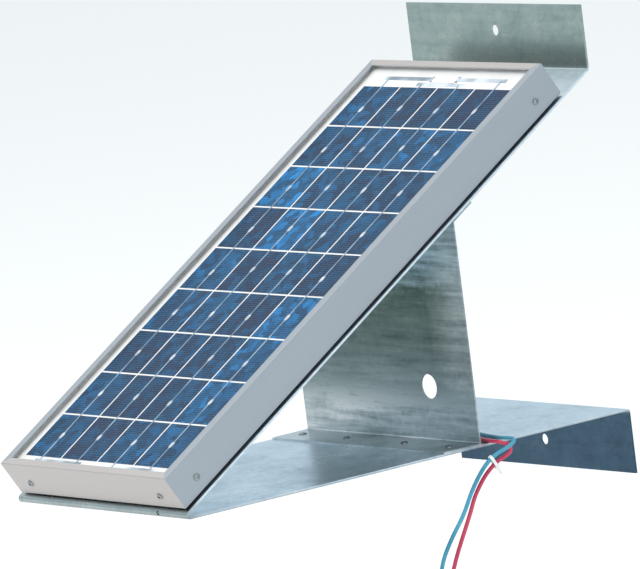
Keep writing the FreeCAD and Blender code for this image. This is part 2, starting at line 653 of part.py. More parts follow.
def make_diode():
    """A bypass diode lying across the box, with its wires on the two end ribbons."""
    case = rod("diode_case", "diode_thick / 2", "diode_long", ("-diode_long / 2", "diode_at", WIRE_UP), "x")
    reach = "(terminal_gap / 2 + bus_wide)"
    wire = rod("diode_wire", "wire_thick / 2", f"2 * {reach}", (f"-{reach}", "diode_at", WIRE_UP), "x")
    return on_panel(joined("bypass_diode", [case, wire]))


def make_bushes():
    """Rubber bushes in the box's end wall, one round each lead."""
    neck = "lead_thick / 2 + 1"
    corners = [
        ("lead_thick / 2 - bush_grip", "-box_wall - 1.2"), ("bush_thick / 2", "-box_wall - 1.2"),
        ("bush_thick / 2", "-box_wall"), (neck, "-box_wall"), (neck, "0"),
        ("bush_flange / 2", "0"), ("bush_flange / 2", "1.6"), ("bush_thick / 2", "2.2"),
        ("bush_nose / 2", "bush_long"), ("lead_thick / 2 - bush_grip", "bush_long"),
    ]
    master = turned("bush", corners)
    return on_panel(group("lead_bushes", [
        copy_of(master, f"lead_bush_{n}", (across, "box_low", "lead_up"), "-y")
        for n, across in enumerate(sides("lead_across"))]))


def make_cores():
    """The bared ends of the two leads, between their insulation and the clamps."""
    start = "(box_low + lead_inside)"
    return on_panel(group("lead_cores", [
        rod(f"lead_core_{n}", "core_thick / 2", f"block_at - {start}", (across, start, "lead_up"), "y")
        for n, across in enumerate(sides("lead_across"))]))


junction_box = make_junction_box()
junction_lid = make_lid()
lid_seal = make_lid_seal()
lid_pin = on_panel(group("lid_hinge_pin", [
    rod("pin_rod", "pin_bore", "box_wide", ("-box_wide / 2", PIVOT_ALONG, PIVOT_UP), "x")]))
terminals = make_terminals()
diode = make_diode()
bushes = make_bushes()
cores = make_cores()


# ---------------------------------------------------------------- panel fixings

def make_fixings():
    """Four bolts up through the slope, a rubber spacer and the frame's return, with nuts."""
    low = f"(-{PANEL_RAISE})"
    high = "return_thick"
    corners = [
        ("0", f"{low} - bolt_head_tall"), ("bolt_head / 2 * 0.9", f"{low} - bolt_head_tall"),
        ("bolt_head / 2", f"{low} - bolt_head_tall + 0.4"), ("bolt_head / 2", low), ("bolt_bore / 2", low),
        ("bolt_bore / 2", f"{high} + washer_thick + nut_tall + bolt_tail - 0.6"),
        ("bolt_bore / 2 - 0.6", f"{high} + washer_thick + nut_tall + bolt_tail"),
        ("0", f"{high} + washer_thick + nut_tall + bolt_tail"),
    ]
    bolt = turned("bolt", corners)
    bore = "bolt_bore / 2 + hole_play"
    washer = cut("washer", rod("washer_disc", "washer_wide / 2", "washer_thick", ("0", "0", high)),
                 rod("washer_bore", bore, "20", ("0", "0", "-10")))
    spacer = cut("spacer", rod("spacer_disc", "spacer_wide / 2", "spacer_thick", ("0", "0", "-spacer_thick")),
                 rod("spacer_bore", bore, "20", ("0", "0", "-10")))
    radius = "nut_flats / 2 / cos(30)"
    prism = doc.addObject("Part::Prism", "nut_prism")
    bind(prism, Circumradius=radius, Height="nut_tall")
    prism.setExpression("Placement.Base.z", tied(f"{high} + washer_thick"))
    nut = cut("nut", prism, rod("nut_bore", bore, "40", ("0", "0", "-10")))
    places = [(across, along, "0") for across in sides(BOLT_ACROSS)
              for along in ("bolt_low", "bolt_high")]
    pieces = []
    for name, master in (("panel_bolts", bolt), ("panel_washers", washer),
                         ("panel_nuts", nut), ("panel_spacers", spacer)):
        copies = [copy_of(master, f"{name}_{n}", place) for n, place in enumerate(places)]
        pieces.append(on_panel(group(name, copies)))
    return pieces


fixings = make_fixings()


# ---------------------------------------------------------------- leads

BLUE_ROUTE = [
    (12, -100.4, 116.5), (12, -120.3, 104.2), (12, -132, 90), (11.5, -137, 68), (10.5, -139, 34), (9.5, -140, -8),
    (9, -142, -52), (9.5, -145, -88), (12, -145.5, -115), (22, -142, -136), (39, -137.5, -147), (60, -136, -149),
    (80, -137.5, -149), (98, -141, -149), (114, -144.5, -149), (128, -146.5, -148.6), (139, -147, -148),
    (147, -147.5, -148.2), (149.5, -152, -151), (147.5, -157, -154), (145, -163.5, -156.5), (143, -169.5, -159.5),
    (141, -174.5, -163.5), (139, -179.5, -169), (136, -185, -177.5), (132.5, -191, -189), (130, -195.5, -200),
    (127.5, -200.5, -210), (124.5, -207, -220), (121.5, -212.5, -230), (118.5, -218, -241.5), (116.5, -221.5, -254),
    (116, -222, -265.8),
]
RED_ROUTE = [
    (-12, -100.4, 116.5), (-12, -120.3, 104.2), (-12, -133, 91), (-12.5, -139, 68), (-12, -142.5, 34), (-10.5, -145.5, -8),
    (-9, -147.5, -52), (-8.5, -149, -88), (-5.5, -150.5, -115), (5, -151.5, -136), (22.5, -151.5, -147),
    (44, -150.5, -149), (66, -150.5, -149), (86, -152, -149), (103, -154.5, -149), (117.5, -157.5, -149),
    (128, -159, -149), (136, -158.5, -149), (141.5, -155.5, -150.5), (143.8, -151, -153), (143.2, -150.2, -159),
    (142.5, -156.5, -162), (142, -164.5, -164.5), (139.5, -171.5, -170), (137, -178, -177), (134, -183, -185.5),
    (131.5, -187.5, -194.5), (130, -191, -204), (128, -196, -215.5), (126, -201, -226.5), (124, -206, -238),
    (122.5, -210.5, -249), (121.5, -214.5, -260.5), (120.5, -219.7, -270.2),
]
COIL_CENTRE = Vector(117.5, -243.5, -286)
BLUE_TAIL = [(115.5, -233.5, -313.8), (115, -234, -322), (114.5, -235.5, -330)]
RED_TAIL = [(120, -236.5, -314.6), (121, -237, -323), (122.5, -238.5, -331.5)]


def cord_solid(name, points, thick):
    """A tube on straight runs joined by tangent arcs. Each arc's radius is 0.45 of its
    shorter run, divided by the tangent of half the turn."""
    points = [Vector(*point) for point in points]
    edges = []
    start = points[0]
    radii = []
    for before, corner, after in zip(points, points[1:], points[2:]):
        back = (before - corner).normalize()
        ahead = (after - corner).normalize()
        turn = math.pi - back.getAngle(ahead)
        cut_back = 0.45 * min((corner - before).Length, (after - corner).Length)
        radii.append(cut_back / math.tan(turn / 2))
        first = corner + back * cut_back
        last = corner + ahead * cut_back
        middle = (back + ahead).normalize()
        centre = corner + middle * math.hypot(cut_back, radii[-1])
        edges.append(Part.LineSegment(start, first).toShape())
        edges.append(Part.Arc(first, centre - middle * radii[-1], last).toShape())
        start = last
    edges.append(Part.LineSegment(start, points[-1]).toShape())
    path = Part.Wire(edges)
    away = (points[1] - points[0]).normalize()
    circle = Part.Wire([Part.Circle(points[0], away, thick / 2).toShape()])
    solid = path.makePipeShell([circle], True, True)
    expected = math.pi * thick ** 2 / 4 * path.Length
    print(f"{name}: length {path.Length:.1f} mm, volume {solid.Volume / expected:.4f} of section x length,"
          f" radii {min(radii):.1f} to {max(radii):.1f} mm:", " ".join(f"{r:.0f}" for r in radii))
    return solid


def make_lead(name, route, tail):
    """One lead: the run from the terminal block to the coil, and the end beyond the coil."""
    thick = number("lead_thick")
    piece = doc.addObject("Part::Feature", name)
    piece.Shape = Part.makeCompound([cord_solid(name, route, thick), cord_solid(name + " end", tail, thick)])
    return piece


def aimed(piece, place, along, across=Vector(1, 0, 0)):
    """Place a piece with its Z along one direction and its X as near as can be to another."""
    up = Vector(*along).normalize()
    side = (Vector(*across) - up * Vector(*across).dot(up)).normalize()
    front = up.cross(side)
    turn = FreeCAD.Rotation(side, front, up, "ZXY")
    piece.Placement = FreeCAD.Placement(Vector(*place), turn)
    return piece


def oval(name, spread, thick, tall, low):
    """A solid with two round ends and flat sides, standing on Z."""
    middle = box(name + "_middle", (spread, thick, tall), (f"-({spread}) / 2", f"-({thick}) / 2", low))
    ends = [rod(f"{name}_end_{n}", f"({thick}) / 2", tall, (across, "0", low))
            for n, across in enumerate(sides(f"({spread}) / 2"))]
    return joined(name, [middle] + ends)


def make_lead_tie():
    """A cable tie round both leads: an oval band, its square head and its cut tail."""
    room = "(lead_thick + 0.4)"
    outer = oval("tie_outer", "tie_spread", f"{room} + 2 * tie_thick", "tie_wide", "-tie_wide / 2")
    inner = oval("tie_inner", "tie_spread", room, "tie_wide + 2", "-tie_wide / 2 - 1")
    head = box("tie_head", ("3.4", "4.2", "tie_wide + 1"),
               (f"tie_spread / 2 + {room} / 2 + 0.3", "-2.1", "-tie_wide / 2 - 0.5"))
    tail = box("tie_tail", ("9", "tie_thick", "tie_wide - 0.4"),
               (f"tie_spread / 2 + {room} / 2 + 2", "-tie_thick / 2", "-tie_wide / 2 + 0.2"))
    solid = joined("tie_solid", [outer, head, tail])
    return cut("lead_tie", solid, inner)


def make_coil():
    """The put-away length of both leads, as one ring of the coil's outer shape, and its tie."""
    ring = doc.addObject("Part::Torus", "lead_coil")
    bind(ring, Radius1="coil_middle / 2", Radius2="coil_section / 2")
    ring.Placement = FreeCAD.Placement(COIL_CENTRE, TURN["x"])
    radius = "(coil_section / 2 + tie_play)"
    place = ("0", "-tie_wide / 2", "coil_middle / 2")
    outer = rod("coil_tie_outer", f"{radius} + tie_thick", "tie_wide", place, "y")
    head = box("coil_tie_head", ("4.4", "tie_wide + 1", "3"),
               ("-2.2", "-tie_wide / 2 - 0.5", f"coil_middle / 2 + {radius} + tie_thick / 2"))
    bore = rod("coil_tie_bore", radius, "3 * tie_wide", ("0", "-1.5 * tie_wide", "coil_middle / 2"), "y")
    band = cut("coil_tie", joined("coil_tie_solid", [outer, head]), bore)
    band.Placement = FreeCAD.Placement(COIL_CENTRE, FreeCAD.Rotation())
    return [ring, band]


def make_eyelet(name, tail):
    """A crimped ring terminal on the lead's end: barrel, flat neck and eye, and its sleeve."""
    centre = "(sleeve_long + eyelet_wide / 2 - 1)"
    barrel = rod(name + "_barrel", "lead_thick / 2", "sleeve_long - sleeve_over", ("0", "0", "0"))
    neck = box(name + "_neck", ("eyelet_thick", "eyelet_wide * 0.42", "sleeve_over + eyelet_wide / 2"),
               ("-eyelet_thick / 2", "-eyelet_wide * 0.21", "sleeve_long - sleeve_over - 2"))
    disc = rod(name + "_disc", "eyelet_wide / 2", "eyelet_thick", ("-eyelet_thick / 2", "0", centre), "x")
    eye = rod(name + "_eye", "eyelet_bore / 2", "3 * eyelet_thick", ("-1.5 * eyelet_thick", "0", centre), "x")
    eyelet = cut(name + "_eyelet", joined(name + "_solid", [barrel, neck, disc]), eye)
    cover = rod(name + "_cover", "sleeve_thick / 2", "sleeve_long - 2", ("0", "0", "-sleeve_over"))
    bore = rod(name + "_bore", "lead_thick / 2 + hole_play", "2 * sleeve_long", ("0", "0", "-sleeve_long"))
    sleeve = cut(name + "_sleeve", cover, bore)
    end = Vector(*tail[-1])
    way = end - Vector(*tail[-2])
    for piece in (sleeve, eyelet):
        aimed(piece, end, way)
    return [sleeve, eyelet]


red_lead = make_lead("red_lead", RED_ROUTE, RED_TAIL)
blue_lead = make_lead("blue_lead", BLUE_ROUTE, BLUE_TAIL)
lead_tie = aimed(make_lead_tie(), (141.6, -169.5, -164), (-0.255, -0.81, -0.529), (-0.184, 0.601, -0.777))
coil = make_coil()
ends = make_eyelet("red", RED_TAIL) + make_eyelet("blue", BLUE_TAIL)


# ---------------------------------------------------------------- check and write

nodes = [bracket, upright, *rivets, *rails, corner_keys, frame_screws, glass, cells, tabs, buses, film,
         backsheet, edge_seal, junction_box, junction_lid, lid_seal, lid_pin, *terminals, diode, bushes, cores,
         *fixings, red_lead, blue_lead, lead_tie, *coil, *ends]

doc.recompute()
for piece in doc.Objects:
    if "Invalid" in piece.State or "Error" in piece.State:
        raise RuntimeError(f"{piece.Label} did not build: {piece.State}")
for piece in nodes:
    if piece.Shape.isNull() or not piece.Shape.isValid() or not piece.Shape.Solids:
        raise RuntimeError(f"{piece.Label} has no valid solid")

os.makedirs("parts", exist_ok=True)
for piece in nodes:
    piece.Shape.exportStep(f"parts/{piece.Label}.step")
    size = piece.Shape.BoundBox
    print(f"{piece.Label:20s} {len(piece.Shape.Solids):3d} solids {piece.Shape.Volume / 1000:9.3f} cm3"
          f"  x {size.XMin:7.1f} {size.XMax:7.1f}  y {size.YMin:7.1f} {size.YMax:7.1f}"
          f"  z {size.ZMin:7.1f} {size.ZMax:7.1f}")
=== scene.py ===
# %% [markdown]
# # A small solar panel on a folded steel bracket
#
# The object is a framed solar panel, bolted to a galvanised sheet that is folded
# to hold it at a slope on a wall or post, with two thin leads that come down
# behind it. Every rigid piece was drawn in CAD, so this lesson loads that model,
# lays the two leads as real cords, and gives each piece the finish it has on the
# real thing.

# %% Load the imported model
import math

import bmesh
import bpy
import numpy as np
from mathutils import Matrix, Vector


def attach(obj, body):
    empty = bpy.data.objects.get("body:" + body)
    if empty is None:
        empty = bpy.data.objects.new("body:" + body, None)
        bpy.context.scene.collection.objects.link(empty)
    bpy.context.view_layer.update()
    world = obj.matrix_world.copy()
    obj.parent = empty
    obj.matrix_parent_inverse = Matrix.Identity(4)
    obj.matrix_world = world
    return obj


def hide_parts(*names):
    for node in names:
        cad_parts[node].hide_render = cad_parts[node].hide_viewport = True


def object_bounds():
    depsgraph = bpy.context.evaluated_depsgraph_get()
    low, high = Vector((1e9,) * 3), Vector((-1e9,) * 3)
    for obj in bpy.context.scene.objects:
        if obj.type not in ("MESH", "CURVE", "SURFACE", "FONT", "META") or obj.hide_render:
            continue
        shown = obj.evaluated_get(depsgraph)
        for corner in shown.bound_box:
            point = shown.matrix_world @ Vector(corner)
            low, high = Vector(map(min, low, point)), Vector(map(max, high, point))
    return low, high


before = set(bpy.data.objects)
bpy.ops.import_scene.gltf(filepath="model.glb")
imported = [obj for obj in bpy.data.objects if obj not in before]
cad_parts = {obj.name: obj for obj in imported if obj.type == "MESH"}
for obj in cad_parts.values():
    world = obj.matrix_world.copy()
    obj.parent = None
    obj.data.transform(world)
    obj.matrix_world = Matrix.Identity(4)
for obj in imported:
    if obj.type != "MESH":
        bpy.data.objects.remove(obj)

scene = bpy.context.scene
cad_low, cad_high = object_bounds()
print("pieces loaded:", len(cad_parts), "box in metres:", list(cad_low), list(cad_high))

# %% [markdown]
# ## The camera
#
# The panel is seen from its left and from a little above, from about seven metres
# away through a long lens, which keeps its edges nearly parallel. The camera is
# placed by its own three directions, because they say the roll as well.

# %% Camera
MM = 0.001
VIEW_FROM = np.array([5474.5, -4216.3, 935.9]) * MM
VIEW_RIGHT = (0.59817, 0.79182, -0.12333)
VIEW_UP = (-0.03677, 0.18086, 0.98282)
VIEW_BACK = (0.80052, -0.58336, 0.13730)
LENS = 440.4
SENSOR_WIDE = 36
SEEN_TO = 60

camera_data = bpy.data.cameras.new("camera")
camera_data.lens = LENS
camera_data.sensor_width = SENSOR_WIDE
camera_data.clip_end = SEEN_TO
camera = bpy.data.objects.new("camera", camera_data)
scene.collection.objects.link(camera)
turn = Matrix((VIEW_RIGHT, VIEW_UP, VIEW_BACK)).transposed().to_4x4()
camera.matrix_world = Matrix.Translation(VIEW_FROM) @ turn
scene.camera = camera
print("camera distance in metres:", round(float(np.linalg.norm(VIEW_FROM)), 2))

# %% [markdown]
# ## The two leads
#
# Each lead is a soft PVC wire 3.6 mm across. It leaves the junction box under the
# panel, comes down behind the upright, lies on the base, goes over its edge and
# hangs. Its spare length is wound into a small tied coil, and it ends in a ring
# terminal. A lead could be a swept mesh, but a curve with a round bevel keeps one
# smooth line from end to end, and its points are easy to move by hand.

# %% Routes of the leads
LEAD_THICK = 3.6 * MM

BLUE_ROUTE = [
    (12, -100.4, 116.5), (12, -120.3, 104.2), (12, -132, 90), (11.5, -137, 68),
    (10.5, -139, 34), (9.5, -140, -8), (9, -142, -52), (9.5, -145, -88),
    (12, -145.5, -115), (22, -142, -136), (39, -137.5, -147), (60, -136, -149),
    (80, -137.5, -149), (98, -141, -149), (114, -144.5, -149), (128, -146.5, -148.6),
    (139, -147, -148), (147, -147.5, -148.2), (149.5, -152, -151), (147.5, -157, -154),
    (145, -163.5, -156.5), (143, -169.5, -159.5), (141, -174.5, -163.5), (139, -179.5, -169),
    (136, -185, -177.5), (132.5, -191, -189), (130, -195.5, -200), (127.5, -200.5, -210),
    (124.5, -207, -220), (121.5, -212.5, -230), (118.5, -218, -241.5), (116.5, -221.5, -254),
    (116, -222, -265.8),
]
RED_ROUTE = [
    (-12, -100.4, 116.5), (-12, -120.3, 104.2), (-12, -133, 91), (-12.5, -139, 68),
    (-12, -142.5, 34), (-10.5, -145.5, -8), (-9, -147.5, -52), (-8.5, -149, -88),
    (-5.5, -150.5, -115), (5, -151.5, -136), (22.5, -151.5, -147), (44, -150.5, -149),
    (66, -150.5, -149), (86, -152, -149), (103, -154.5, -149), (117.5, -157.5, -149),
    (128, -159, -149), (136, -158.5, -149), (141.5, -155.5, -150.5), (143.8, -151, -153),
    (143.2, -150.2, -159), (142.5, -156.5, -162), (142, -164.5, -164.5), (139.5, -171.5, -170),
    (137, -178, -177), (134, -183, -185.5), (131.5, -187.5, -194.5), (130, -191, -204),
    (128, -196, -215.5), (126, -201, -226.5), (124, -206, -238), (122.5, -210.5, -249),
    (121.5, -214.5, -260.5), (120.5, -219.7, -270.2),
]
BLUE_TAIL = [(115.5, -233.5, -313.8), (115, -234, -322), (114.5, -235.5, -330)]
RED_TAIL = [(120, -236.5, -314.6), (121, -237, -323), (122.5, -238.5, -331.5)]
print("points:", len(BLUE_ROUTE), "blue and", len(RED_ROUTE), "red before the coil")

# %% Turns of the coil
COIL_CENTRE = np.array([117.5, -243.5, -286.0]) * MM
COIL_MIDDLE = 21.5 * MM
POINTS_A_TURN = 16
TURNED = 1853
BLUE_START, RED_START = 18, 12
BLUE_SIDE, RED_SIDE = -1.5, 0.5
STEP_FROM, STEP_LONG = 0.42, 0.16


def coil_turns(start, end, side):
    """Points of one lead's turns round the coil, which lies upright across the X axis.

    The angle falls evenly from start to end, in degrees. Each turn lies one lead's
    thickness from the last: the lead works inwards down one column of three places,
    steps to the next column and works outwards, and all turns step at the same angle.
    A place is a radius (across, from the middle of the turns) and a shift along X. The
    step is eased as 3t^2 - 2t^3, t being how far through it the lead is.
    """
    angle = np.radians(np.linspace(start, end, round((start - end) / 360 * POINTS_A_TURN)))
    gone = (angle[0] - angle) / (2 * np.pi)
    ease = np.clip((gone % 1 - STEP_FROM) / STEP_LONG, 0, 1)
    place = np.floor(gone) + ease * ease * (3 - 2 * ease)
    steps = np.arange(6)
    outward = np.interp(place, steps, [1, 0, -1, -1, 0, 1]) * LEAD_THICK
    along = np.interp(place, steps, np.array([0, 0, 0, 1, 1, 1]) + side) * LEAD_THICK
    radius = COIL_MIDDLE + outward
    ring = np.stack([along, radius * np.cos(angle), radius * np.sin(angle)], axis=1)
    return COIL_CENTRE + ring


blue_turns = coil_turns(BLUE_START, BLUE_START - TURNED, BLUE_SIDE)
red_turns = coil_turns(RED_START, RED_START - TURNED, RED_SIDE)
print("coil turns of each lead:", round(TURNED / 360, 2), "points:", len(blue_turns))

# %% Lay each lead as a smooth curve


def lay_lead(name, points):
    """A smooth spline that is drawn towards its points in turn, with a round section
    carried along it and closed at both ends. Its half thickness is the bevel's depth
    times each point's radius, and Blender takes the curve's box from the radii, so the
    radius is the lead's own and the depth is one."""
    curve = bpy.data.curves.new(name, "CURVE")
    curve.dimensions = "3D"
    spline = curve.splines.new("NURBS")
    spline.points.add(len(points) - 1)
    weighted = np.column_stack([points, np.ones(len(points))])
    spline.points.foreach_set("co", weighted.ravel())
    spline.points.foreach_set("radius", np.full(len(points), LEAD_THICK / 2))
    spline.order_u = 3
    spline.use_endpoint_u = True
    curve.resolution_u = 6
    curve.render_resolution_u = 6
    curve.bevel_depth = 1.0
    curve.bevel_resolution = 5
    curve.use_fill_caps = True
    lead = bpy.data.objects.new(name, curve)
    scene.collection.objects.link(lead)
    return lead


# %% Both leads, hung on the root body, with the CAD leads and coil hidden
blue_points = np.vstack([np.array(BLUE_ROUTE) * MM, blue_turns, np.array(BLUE_TAIL) * MM])
red_points = np.vstack([np.array(RED_ROUTE) * MM, red_turns, np.array(RED_TAIL) * MM])
blue_wire = lay_lead("blue_wire", blue_points)
red_wire = lay_lead("red_wire", red_points)
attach(blue_wire, "root")
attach(red_wire, "root")
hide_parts("blue_lead", "lead_coil")
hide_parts("red_lead", "lead_coil")
print("points on each lead:", len(blue_points), len(red_points))

# %% [markdown]
# ## Solder pads on the cells
#
# Each cell has one thin ribbon up its middle, and near mid-cell the ribbon is
# soldered down on a longer pad. The CAD ribbons are plain strips, so the pads are
# new pieces. They could be 36 objects, but one mesh of 36 flattened ellipsoids,
# worked out together, is lighter and takes one finish.

# %% The panel's own directions
WALL_RISE = 302 * MM
BASE_DEEP = 488 * MM
SLOPE = math.atan2(WALL_RISE, BASE_DEEP)
PANEL_START = 7 * MM
PANEL_RAISE = 3.5 * MM
PANEL_ORIGIN = np.array([
    0.0,
    -BASE_DEEP + PANEL_START * math.cos(SLOPE) - PANEL_RAISE * math.sin(SLOPE),
    -WALL_RISE / 2 + PANEL_START * math.sin(SLOPE) + PANEL_RAISE * math.cos(SLOPE),
])


def on_panel(points):
    """Points given across, up the slope and out of the panel, turned by the slope
    about X and moved to the panel's lower rear edge."""
    cosine, sine = math.cos(SLOPE), math.sin(SLOPE)
    across, up, out = points[..., 0], points[..., 1], points[..., 2]
    turned = np.stack([across, up * cosine - out * sine, up * sine + out * cosine], axis=-1)
    return turned + PANEL_ORIGIN


print("slope in degrees:", round(math.degrees(SLOPE), 2))

# %% Solder pads
CELL_PITCH = 54 * MM
CELL_ROWS = 9
CELL_COLUMNS = 4
FIRST_CELL = 43.5 * MM
PAD_HALF_WIDE = 2.2 * MM
PAD_HALF_LONG = 4.6 * MM
PAD_HALF_THICK = 0.09 * MM
PAD_CENTRE_OUT = 29.89 * MM


def pad_surface(centres, rings=7, around=20):
    """Flattened ellipsoids about the given centres: a half circle from pole to pole is
    carried round the middle, and each pole is one point joined by triangles."""
    polar = np.linspace(0, np.pi, rings + 2)[1:-1, None]
    turn_by = np.linspace(0, 2 * np.pi, around, endpoint=False)[None, :]
    shell = np.stack([PAD_HALF_WIDE * np.sin(polar) * np.cos(turn_by),
                      PAD_HALF_LONG * np.sin(polar) * np.sin(turn_by),
                      PAD_HALF_THICK * np.cos(polar) + 0 * turn_by], axis=-1).reshape(-1, 3)
    poles = np.array([[0, 0, PAD_HALF_THICK], [0, 0, -PAD_HALF_THICK]])
    one = np.vstack([shell, poles])
    row, column = np.meshgrid(np.arange(rings - 1), np.arange(around), indexing="ij")
    here = (row * around + column).ravel()
    beside = (row * around + (column + 1) % around).ravel()
    quads = np.column_stack([here, here + around, beside + around, beside])
    ends = np.arange(around)
    after = (ends + 1) % around
    top = np.column_stack([np.full(around, len(shell)), ends, after])
    last = (rings - 1) * around
    low = np.column_stack([np.full(around, len(shell) + 1), last + after, last + ends])
    caps = np.vstack([top, low])
    shifts = np.arange(len(centres))[:, None, None] * len(one)
    points = centres[:, None, :] + one
    return points, (quads + shifts).reshape(-1, 4), (caps + shifts).reshape(-1, 3)


# %% Where the pads lie, and their mesh
PAD_SEED = 5
PAD_STRAY = (-5, 2)
columns, rows = np.meshgrid(np.arange(CELL_COLUMNS), np.arange(CELL_ROWS), indexing="ij")
pad_shift = np.random.default_rng(PAD_SEED).uniform(*PAD_STRAY, columns.size) * MM
pad_centres = np.column_stack([(columns.ravel() - (CELL_COLUMNS - 1) / 2) * CELL_PITCH,
                               FIRST_CELL + rows.ravel() * CELL_PITCH + pad_shift,
                               np.full(columns.size, PAD_CENTRE_OUT)])
pad_points, pad_quads, pad_caps = pad_surface(pad_centres)
pad_mesh = bpy.data.meshes.new("solder_pads")
pad_mesh.from_pydata(on_panel(pad_points).reshape(-1, 3).tolist(), [],
                     pad_quads.tolist() + pad_caps.tolist())
pad_mesh.polygons.foreach_set("use_smooth", np.ones(len(pad_mesh.polygons), bool))
solder_pads = bpy.data.objects.new("solder_pads", pad_mesh)
scene.collection.objects.link(solder_pads)
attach(solder_pads, "root")
print("solder pads:", len(pad_centres), "faces:", len(pad_mesh.polygons))

# %% [markdown]
# ## Insulation tab
#
# The two outer ribbons turn down through a slot in the back to reach the junction
# box, and the maker lays a white film tab over the slot, so that no dark gap shows
# through the glass. It is a thin plate with round corners, worked out as a grid that
# is wrapped over both faces.

# %% Insulation tab
TAB_HALF = np.array([17.0, 4.8]) * MM
TAB_CENTRE = np.array([0.0, 513.0, 29.91]) * MM
TAB_HALF_THICK = 0.04 * MM
TAB_SQUARENESS = 8
TAB_RIM = 0.35
MERGE_WITHIN = 1e-6


def plate(centre, half, half_thick, rings=9, around=64):
    """A thin plate: each ring is a superellipse, the curve where |x/a|^n + |y/b|^n is
    1, scaled from the middle of the top out to the rim and back under it."""
    polar = np.linspace(0, np.pi, rings)[:, None]
    turn_by = np.linspace(0, 2 * np.pi, around, endpoint=False)[None, :]
    cosine, sine = np.cos(turn_by), np.sin(turn_by)
    reach = (np.abs(cosine) ** TAB_SQUARENESS
             + np.abs(sine) ** TAB_SQUARENESS) ** (-1 / TAB_SQUARENESS)
    size = np.sin(polar) ** TAB_RIM
    grid = np.stack([half[0] * reach * cosine * size, half[1] * reach * sine * size,
                     half_thick * np.cos(polar) + 0 * turn_by], axis=-1)
    row, column = np.meshgrid(np.arange(rings - 1), np.arange(around), indexing="ij")
    here = (row * around + column).ravel()
    beside = (row * around + (column + 1) % around).ravel()
    return centre + grid, np.column_stack([here, here + around, beside + around, beside])


# %% The tab as a mesh
tab_points, tab_quads = plate(TAB_CENTRE, TAB_HALF, TAB_HALF_THICK)
tab_mesh = bpy.data.meshes.new("insulation_tab")
tab_mesh.from_pydata(on_panel(tab_points).reshape(-1, 3).tolist(), [], tab_quads.tolist())
soft = bmesh.new()
soft.from_mesh(tab_mesh)
bmesh.ops.remove_doubles(soft, verts=soft.verts, dist=MERGE_WITHIN)
soft.to_mesh(tab_mesh)
soft.free()
insulation_tab = bpy.data.objects.new("insulation_tab", tab_mesh)
scene.collection.objects.link(insulation_tab)
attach(insulation_tab, "root")
print("insulation tab faces:", len(tab_mesh.polygons))

# %% [markdown]
# ## How a finish is made
#
# Every finish is a small node tree that ends in one Principled shader. Colours are
# written as the familiar hex values and turned to linear light by one function, and
# one other function adds any kind of node, so that each recipe below reads as a list
# of what the real surface has.

# %% Colour and node helpers


def linear(hex_colour):
    """A colour in linear light from its sRGB hex: each channel is divided by 12.92
    near black, and raised to the power 2.4 above that."""
    channels = np.array([int(hex_colour[n:n + 2], 16) for n in (1, 3, 5)]) / 255
    light = np.where(channels <= 0.04045, channels / 12.92, ((channels + 0.055) / 1.055) ** 2.4)
    return (*light.tolist(), 1.0)


def add(tree, kind, settings=None, **sockets):
    """Adds one node of a kind, sets its properties, and fills its sockets: a socket of
    another node is linked, anything else is the value. A socket's name has _ for its
    spaces, and in_0, in_1 name sockets by their place. The setting stops is a colour
    ramp's own list, of (position, hex colour), the two end stops first."""
    node = tree.nodes.new(kind)
    settings = dict(settings or {})
    for place, (position, colour) in enumerate(settings.pop("stops", ())):
        elements = node.color_ramp.elements
        element = elements[place] if place < 2 else elements.new(position)
        element.position = position
        element.color = linear(colour)
    for name, value in settings.items():
        setattr(node, name, value)
    for name, value in sockets.items():
        place = int(name[3:]) if name.startswith("in_") else name.replace("_", " ")
        socket = node.inputs[place]
        if isinstance(value, bpy.types.NodeSocket):
            tree.links.new(value, socket)
        else:
            socket.default_value = value
    return node


def finish(name, **shader_sockets):
    """A new material with one Principled shader, whose own sockets hold the values
    that are the same all over. Gives the material, its tree and the shader."""
    material = bpy.data.materials.new(name)
    material.use_nodes = True
    tree = material.node_tree
    shader = tree.nodes["Principled BSDF"]
    for socket, value in shader_sockets.items():
        shader.inputs[socket.replace("_", " ")].default_value = value
    return material, tree, shader


def put_on(material, *names):
    """Gives a material to each named piece, in place of what it came with."""
    for name in names:
        data = bpy.data.objects[name].data
        data.materials.clear()
        data.materials.append(material)
    print(material.name, "on", ", ".join(names))


# %% Places on the object, in millimetres
TO_MM = 1000.0


def place_mm(tree, on_slope=False, stretch=(1, 1, 1)):
    """Object coordinates in millimetres, stretched for streaks. On the slope they are
    turned back by its angle, so that they run across, up and out of the panel."""
    coordinates = add(tree, "ShaderNodeTexCoord").outputs["Object"]
    if not on_slope:
        scale = tuple(TO_MM * s for s in stretch)
        return add(tree, "ShaderNodeMapping", Vector=coordinates, Scale=scale).outputs["Vector"]
    cosine, sine = math.cos(SLOPE), math.sin(SLOPE)
    _, back, down = PANEL_ORIGIN * TO_MM
    shift = (0, -(back * cosine + down * sine), back * sine - down * cosine)
    flat = add(tree, "ShaderNodeMapping", Vector=coordinates, Scale=(TO_MM,) * 3,
               Rotation=(-SLOPE, 0, 0), Location=shift).outputs["Vector"]
    return add(tree, "ShaderNodeMapping", Vector=flat, Scale=stretch).outputs["Vector"]


print("patterns are sized in millimetres")

# %% [markdown]
# ## Galvanised steel
#
# The bracket and the upright are mild steel sheet, hot-dip galvanised before it was
# folded. Zinc freezes in flat crystals, the spangle, which catch the light one by
# one, and rolling leaves faint streaks. A picture of zinc could be wrapped on, but
# cells of a Voronoi pattern give the same flat-sided patches at a true size.

# %% Galvanised sheet
SPANGLE = 5.0
CLOUD = 45.0
STREAK = (0.012, 0.012, 0.16)


